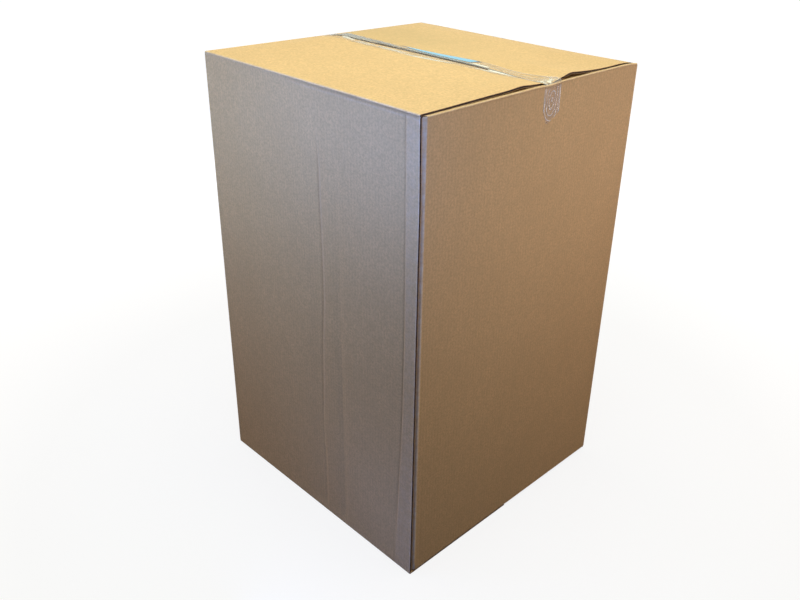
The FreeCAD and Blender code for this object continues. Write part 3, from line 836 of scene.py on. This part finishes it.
def buildTopTape():
    width = tape["width"]
    t = np.linspace(-0.5, 0.5, 97)[None, :] * width
    topX = stations([-299, -200, 130, 240, 299], [3, 2.5, 1.6, 0.9])
    tornLength = throughPoints(t, tape["tearAcross"], tape["tearLength"])
    tornLength = tornLength + 0.5 * mm * np.sin(t / (1.3 * mm)) + 0.8 * mm * ripple(t, 0, 7 * mm, 12)
    onTop = topX[:, None] + 0 * t
    yTop = tapeMiddle(onTop) + t
    zTop = board["top"] + seatHeight(onTop, yTop) + tape["lift"]
    upwards = joined(0 * onTop, 0.0, 1.0)

    tailShare = np.linspace(0, 1, 70)
    rightPoints, rightNormals, rightS = tapeTail(1, t, tornLength, tailShare)
    leftPoints, leftNormals, leftS = tapeTail(-1, t, tape["leftTail"], tailShare[::3])
    points = np.concatenate([leftPoints[::-1], joined(onTop, yTop, zTop), rightPoints])
    normals = np.concatenate([leftNormals[::-1], upwards, rightNormals])
    s = np.concatenate([leftS[::-1], onTop, rightS])
    t = np.broadcast_to(t, s.shape)

    # creases, the crumpled right end and the curved lines in the torn tail
    down = s - tape["turnStart"]
    onTail = ramp(down, tape["tailFrom"])
    raised = np.maximum(longRidges(s, t), wanderingCreases(s, t, *tape["smallCreases"]))
    place, reach, height = tape["crumple"]
    crumple = bell(s - place, reach) * (1 - onTail)
    tangle = np.maximum(bell(ripple(s, t, 13 * mm, 23), 0.07), bell(ripple(s, t, 17 * mm, 26) - 0.1, 0.06))
    raised = raised + height * crumple * (tangle + 0.5 * np.abs(ripple(s, t, 20 * mm, 27)))
    place, spacing, sway, swayLength = tape["loops"]
    fromMiddle = down - place
    loop = np.hypot(t + 0.07 * fromMiddle, 0.5 * fromMiddle) + sway * ripple(s, t, swayLength, 24)
    loopLines = bell(np.mod(loop / spacing + 0.2, 1) - 0.5, 0.15)
    edgeLines = bell(np.abs(t) - width / 2 + tape["edgeLine"], tape["edgeLine"])
    raised = raised * (1 - onTail) + tape["tailHeight"] * onTail * np.maximum(loopLines, edgeLines)
    inBubble = bubble(s, t)
    raised = raised * (1 - inBubble) + tape["bubbleHeight"] * inBubble

    outerFace = points + normals * (raised + tape["film"])[..., None]
    innerFace = outerFace - normals * tape["film"]
    rowCount, columnCount = s.shape
    r, c = np.indices((rowCount - 1, columnCount - 1))
    faces = gridQuads(r, c, columnCount)
    outerFace, innerFace = outerFace.reshape(-1, 3), innerFace.reshape(-1, 3)
    vertices, sheetFaces, walls = closeSheet(outerFace, innerFace, faces, [])[:3]
    uv = joined(s, t).reshape(-1, 2)
    allFaces = np.concatenate([sheetFaces] + walls)
    creased = np.clip(raised / (0.4 * mm) - 0.25, 0, 1) * (1 - inBubble) * (1 - np.minimum(crumple * 1.5, 1))
    creased = np.maximum(creased, np.minimum(crumple * 1.8, 1) * np.maximum(tangle, 0.25))
    creased = creased * (1 + onTail)
    # dark line of painted shade where the film bridges the seam
    seamStart, seamEnd = tape["seamAlong"][0], tape["seamAlong"][-1]
    paintedSeamShade = eased((s - seamStart) / (12 * mm)) * eased((seamEnd - s) / (6 * mm)) * (1 - onTail)
    seamLine = throughPoints(s, tape["seamAlong"], tape["seamBehind"])
    paintedSeamShade = paintedSeamShade * bell(points[..., 1] - seamLine, tape["seamDark"])
    paintedSeamShade = paintedSeamShade * (1 - 0.35 * eased(s / (200 * mm)))    # weaker towards the right
    marks = {"creased": creased, "milky": patches(s, t, tape["milky"], 32) * (1 - inBubble),
             "smoky": patches(s, t, tape["smoky"], 31), "onTail": onTail, "paintedSeamShade": paintedSeamShade,
             "mirrorOverPaintedShade": inBubble}
    marks = {key: np.tile(values.reshape(-1), 2) for key, values in marks.items()}
    piece = meshPiece("seam_tape", vertices, allFaces, np.concatenate([uv, uv]), [tapeMaterial()],
                      np.zeros(len(allFaces)), marks, 60)
    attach(piece, "root")
    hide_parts("top_tape")


def tapeMaterial():
    # clear film: glossy, with streaks of trapped air, paler creases, dull parts that stand off, a line of
    # painted shade over the seam and painted shade under the bubble that mirrors the blue window
    material, tree, shader = nodeMaterial("clearTape")
    stretched = flatPlace(tree, (26, 330, 1))[1]
    air = mottle(tree, stretched, (1, 3, 0.6, 0.5, 0.75, 0, 0.16))
    keys = ("creased", "milky", "smoky", "onTail", "paintedSeamShade", "mirrorOverPaintedShade")
    creased, milky, smoky, onTail, paintedSeamShade, mirrorOverPaintedShade = (attributeNode(tree, key) for key in keys)
    alpha = mathNode(tree, "ADD", air, mathNode(tree, "MULTIPLY", creased, 0.42))
    alpha = mathNode(tree, "ADD", alpha, mathNode(tree, "MULTIPLY", onTail, 0.05))
    alpha = mathNode(tree, "ADD", alpha, 0.08)
    for mark, strength in ((milky, 0.75), (smoky, 0.7), (paintedSeamShade, 0.9), (mirrorOverPaintedShade, 0.95)):
        alpha = mathNode(tree, "MAXIMUM", alpha, mathNode(tree, "MULTIPLY", mark, strength))
    alpha = mathNode(tree, "MINIMUM", alpha, 0.95)
    colour = mixNode(tree, creased, (0.58, 0.50, 0.40), (0.76, 0.76, 0.74))
    colour = mixNode(tree, milky, colour, (0.90, 0.88, 0.76))
    colour = mixNode(tree, smoky, colour, (0.33, 0.33, 0.29))
    # painted shade over the seam
    colour = mixNode(tree, paintedSeamShade, colour, (0.05, 0.10, 0.14))
    # painted shade under the bubble, which mirrors the blue window
    colour = mixNode(tree, mirrorOverPaintedShade, colour, (0.02, 0.05, 0.08))
    feed(tree, shader, {"Base Color": colour, "Alpha": alpha, "Specular IOR Level": 0.6, "IOR": 1.5,
                        "Roughness": rangeNode(tree, mirrorOverPaintedShade, 0, 1, 0.24, 0.06)})
    return material


buildTopTape()
print("tape laid")


def finishHiddenPieces():
    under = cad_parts["bottom_tape"]
    under.data.materials.clear()
    under.data.materials.append(plainTapeMaterial())
    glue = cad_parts["joint_glue"]
    glue.data.materials.clear()
    glue.data.materials.append(glueMaterial())


def plainTapeMaterial():
    material, tree, shader = nodeMaterial("clearTapeFlat")
    place = tree.nodes.new("ShaderNodeTexCoord").outputs["Object"]
    streaks = mottle(tree, place, (60, 3, 0.55, 0.4, 0.7, 0.2, 0.5))
    colour = mixNode(tree, streaks, (0.62, 0.55, 0.44), (0.9, 0.88, 0.8))
    feed(tree, shader, {"Base Color": colour, "Alpha": streaks, "Roughness": 0.15})
    return material


def glueMaterial():
    return mottledMaterial("driedGlue", 120, (0.78, 0.72, 0.56), (0.9, 0.86, 0.74), 0.35)


finishHiddenPieces()
print("hidden pieces finished")

# Studio: pale floor, soft lamps and the camera of the photograph.
studio = {
    "floorSize": 60.0,
    "floorColour": (0.86, 0.86, 0.86),
    "floorBounce": (0.08, 0.08, 0.09),    # what the object gets back from the floor
    "backdropShare": 0.85,        # of the floor's look, plain white
    "nearWhite": 1.0,             # strength of that white around the object and far away
    "farWhite": 1.2,
    "whiteEnds": (0.9, 2.2),      # and how far out it changes
    "fill": (0.80, 0.86, 1.0),
    "fillStrength": 0.03,
}
lamps = [
    # name, place, aimed at, width, height, watts, colour
    ("topKey", (0.1, -0.1, 2.6), (0, 0, 0.96), 1.6, 1.6, 50.25, (0.98, 1.00, 0.83)),
    ("coolTopLeft", (-0.45, -0.95, 0.93), (-0.3, -0.3, 0.9), 0.5, 0.3, 4.40, (0.315, 0.52, 1.00)),
    ("coolTopNear", (0.24, -0.62, 0.95), (0.21, -0.3, 0.92), 0.75, 0.1, 2.10, (0.21, 0.37, 1.00)),
    ("warmFront", (-2.2, -1.5, 0.7), (-0.1, -0.3, 0.45), 1.0, 1.0, 10.21, (1.00, 0.52, 0.26)),
    ("coolLow", (0.27, -0.62, 0.08), (0.27, -0.3, 0.1), 0.25, 0.25, 0.45, (0.20, 0.35, 1.00)),
    ("coolRightTop", (1.0, 0.15, 0.9), (0.3, 0.15, 0.88), 0.9, 0.3, 2.41, (0.98, 0.90, 1.00)),
    ("warmRight", (1.3, 1.3, 0.75), (0.3, 0.15, 0.5), 0.8, 0.8, 4.22, (1.00, 0.55, 0.30)),
    ("blueWindow", (-1.97, 2.18, 1.58), (0.04, 0.02, 0.966), 0.4, 0.4, 0.83, (0.145, 0.75, 1.0)),
    ("softBack", (0.3, 2.5, 0.45), (0, 0.3, 0.45), 0.9, 0.8, 20, (1.0, 0.97, 0.92)),
    ("softLeft", (-2.5, 0.3, 0.45), (-0.3, 0, 0.45), 0.9, 0.8, 20, (1.0, 0.97, 0.92)),
]
camera = {
    "place": (1.18293, -1.20604, 1.31724),
    "azimuth": 45.281,
    "elevation": 27.391,
    "roll": 1.016,
    "focalPixels": 836.97,
    "centrePixels": (404.7, 287.7),
    "framePixels": (800, 600),
    "sensor": 36.0,
}


def seenDirectly(tree):
    # 1 for what the camera sees, also in gloss or through film, 0 for light on the object
    rays = tree.nodes.new("ShaderNodeLightPath")
    seen = mathNode(tree, "MAXIMUM", rays.outputs["Is Camera Ray"], rays.outputs["Is Glossy Ray"])
    return mathNode(tree, "MAXIMUM", seen, rays.outputs["Is Transmission Ray"])


def buildFloor():
    half = studio["floorSize"] / 2
    mesh = bpy.data.meshes.new("floor")
    corners = [(-half, -half, 0), (half, -half, 0), (half, half, 0), (-half, half, 0)]
    mesh.from_pydata(corners, [], [(0, 1, 2, 3)])
    material, tree, shader = nodeMaterial("paleFloor")
    seen = seenDirectly(tree)
    colour = mixNode(tree, seen, studio["floorBounce"], studio["floorColour"])
    feed(tree, shader, {"Base Color": colour, "Roughness": 0.9, "Specular IOR Level": 0.1})
    white = tree.nodes.new("ShaderNodeEmission")
    distance = tree.nodes.new("ShaderNodeVectorMath")
    distance.operation = "LENGTH"
    feed(tree, distance, {0: tree.nodes.new("ShaderNodeTexCoord").outputs["Object"]})
    ends = (*studio["whiteEnds"], studio["nearWhite"], studio["farWhite"])
    feed(tree, white, {"Strength": rangeNode(tree, distance.outputs["Value"], *ends)})
    mix = tree.nodes.new("ShaderNodeMixShader")
    share = mathNode(tree, "MULTIPLY", seen, studio["backdropShare"])
    feed(tree, mix, {0: share, 1: shader.outputs[0], 2: white.outputs[0]})
    feed(tree, tree.nodes["Material Output"], {"Surface": mix.outputs[0]})
    mesh.materials.append(material)
    floor = placed("floor", mesh)


def buildWorld():
    world = bpy.data.worlds.new("studio")
    bpy.context.scene.world = world
    world.use_nodes = True
    tree = world.node_tree
    fill = tree.nodes["Background"]
    feed(tree, fill, {"Color": studio["fill"], "Strength": studio["fillStrength"]})
    backdrop = tree.nodes.new("ShaderNodeBackground")
    feed(tree, backdrop, {"Color": (1, 1, 1)})
    mix = tree.nodes.new("ShaderNodeMixShader")
    feed(tree, mix, {0: seenDirectly(tree), 1: fill.outputs[0], 2: backdrop.outputs[0]})
    feed(tree, tree.nodes["World Output"], {"Surface": mix.outputs[0]})


def buildLamps():
    for name, place, target, width, height, watts, colour in lamps:
        data = bpy.data.lights.new(name, "AREA")
        data.shape = "RECTANGLE"
        data.energy, data.color, data.size, data.size_y = watts, colour, width, height
        lamp = placed(name, data)
        lamp.location = place
        lamp.rotation_euler = (Vector(place) - Vector(target)).to_track_quat("Z", "Y").to_euler()
        lamp.visible_camera = False


def buildCamera():
    azimuth, elevation, roll = (math.radians(camera[key]) for key in ("azimuth", "elevation", "roll"))
    backwards = Vector((math.sin(azimuth) * math.cos(elevation), -math.cos(azimuth) * math.cos(elevation),
                        math.sin(elevation)))
    level = Vector((math.cos(azimuth), math.sin(azimuth), 0))
    upright = backwards.cross(level)
    sideways = level * math.cos(roll) + upright * math.sin(roll)
    upwards = upright * math.cos(roll) - level * math.sin(roll)
    data = bpy.data.cameras.new("photoCamera")
    width, height = camera["framePixels"]
    data.sensor_width = camera["sensor"]
    data.lens = camera["focalPixels"] * camera["sensor"] / width
    data.shift_x = (width / 2 - camera["centrePixels"][0]) / width
    data.shift_y = (camera["centrePixels"][1] - height / 2) / width
    data.clip_start, data.clip_end = 0.05, 200
    viewer = placed("photoCamera", data)
    turn = Matrix((sideways, upwards, backwards)).transposed().to_4x4()
    viewer.matrix_world = Matrix.Translation(Vector(camera["place"])) @ turn
    bpy.context.scene.camera = viewer


buildFloor()
buildWorld()
buildLamps()
buildCamera()
bpy.context.scene.view_settings.view_transform = "Standard"
print("studio ready")
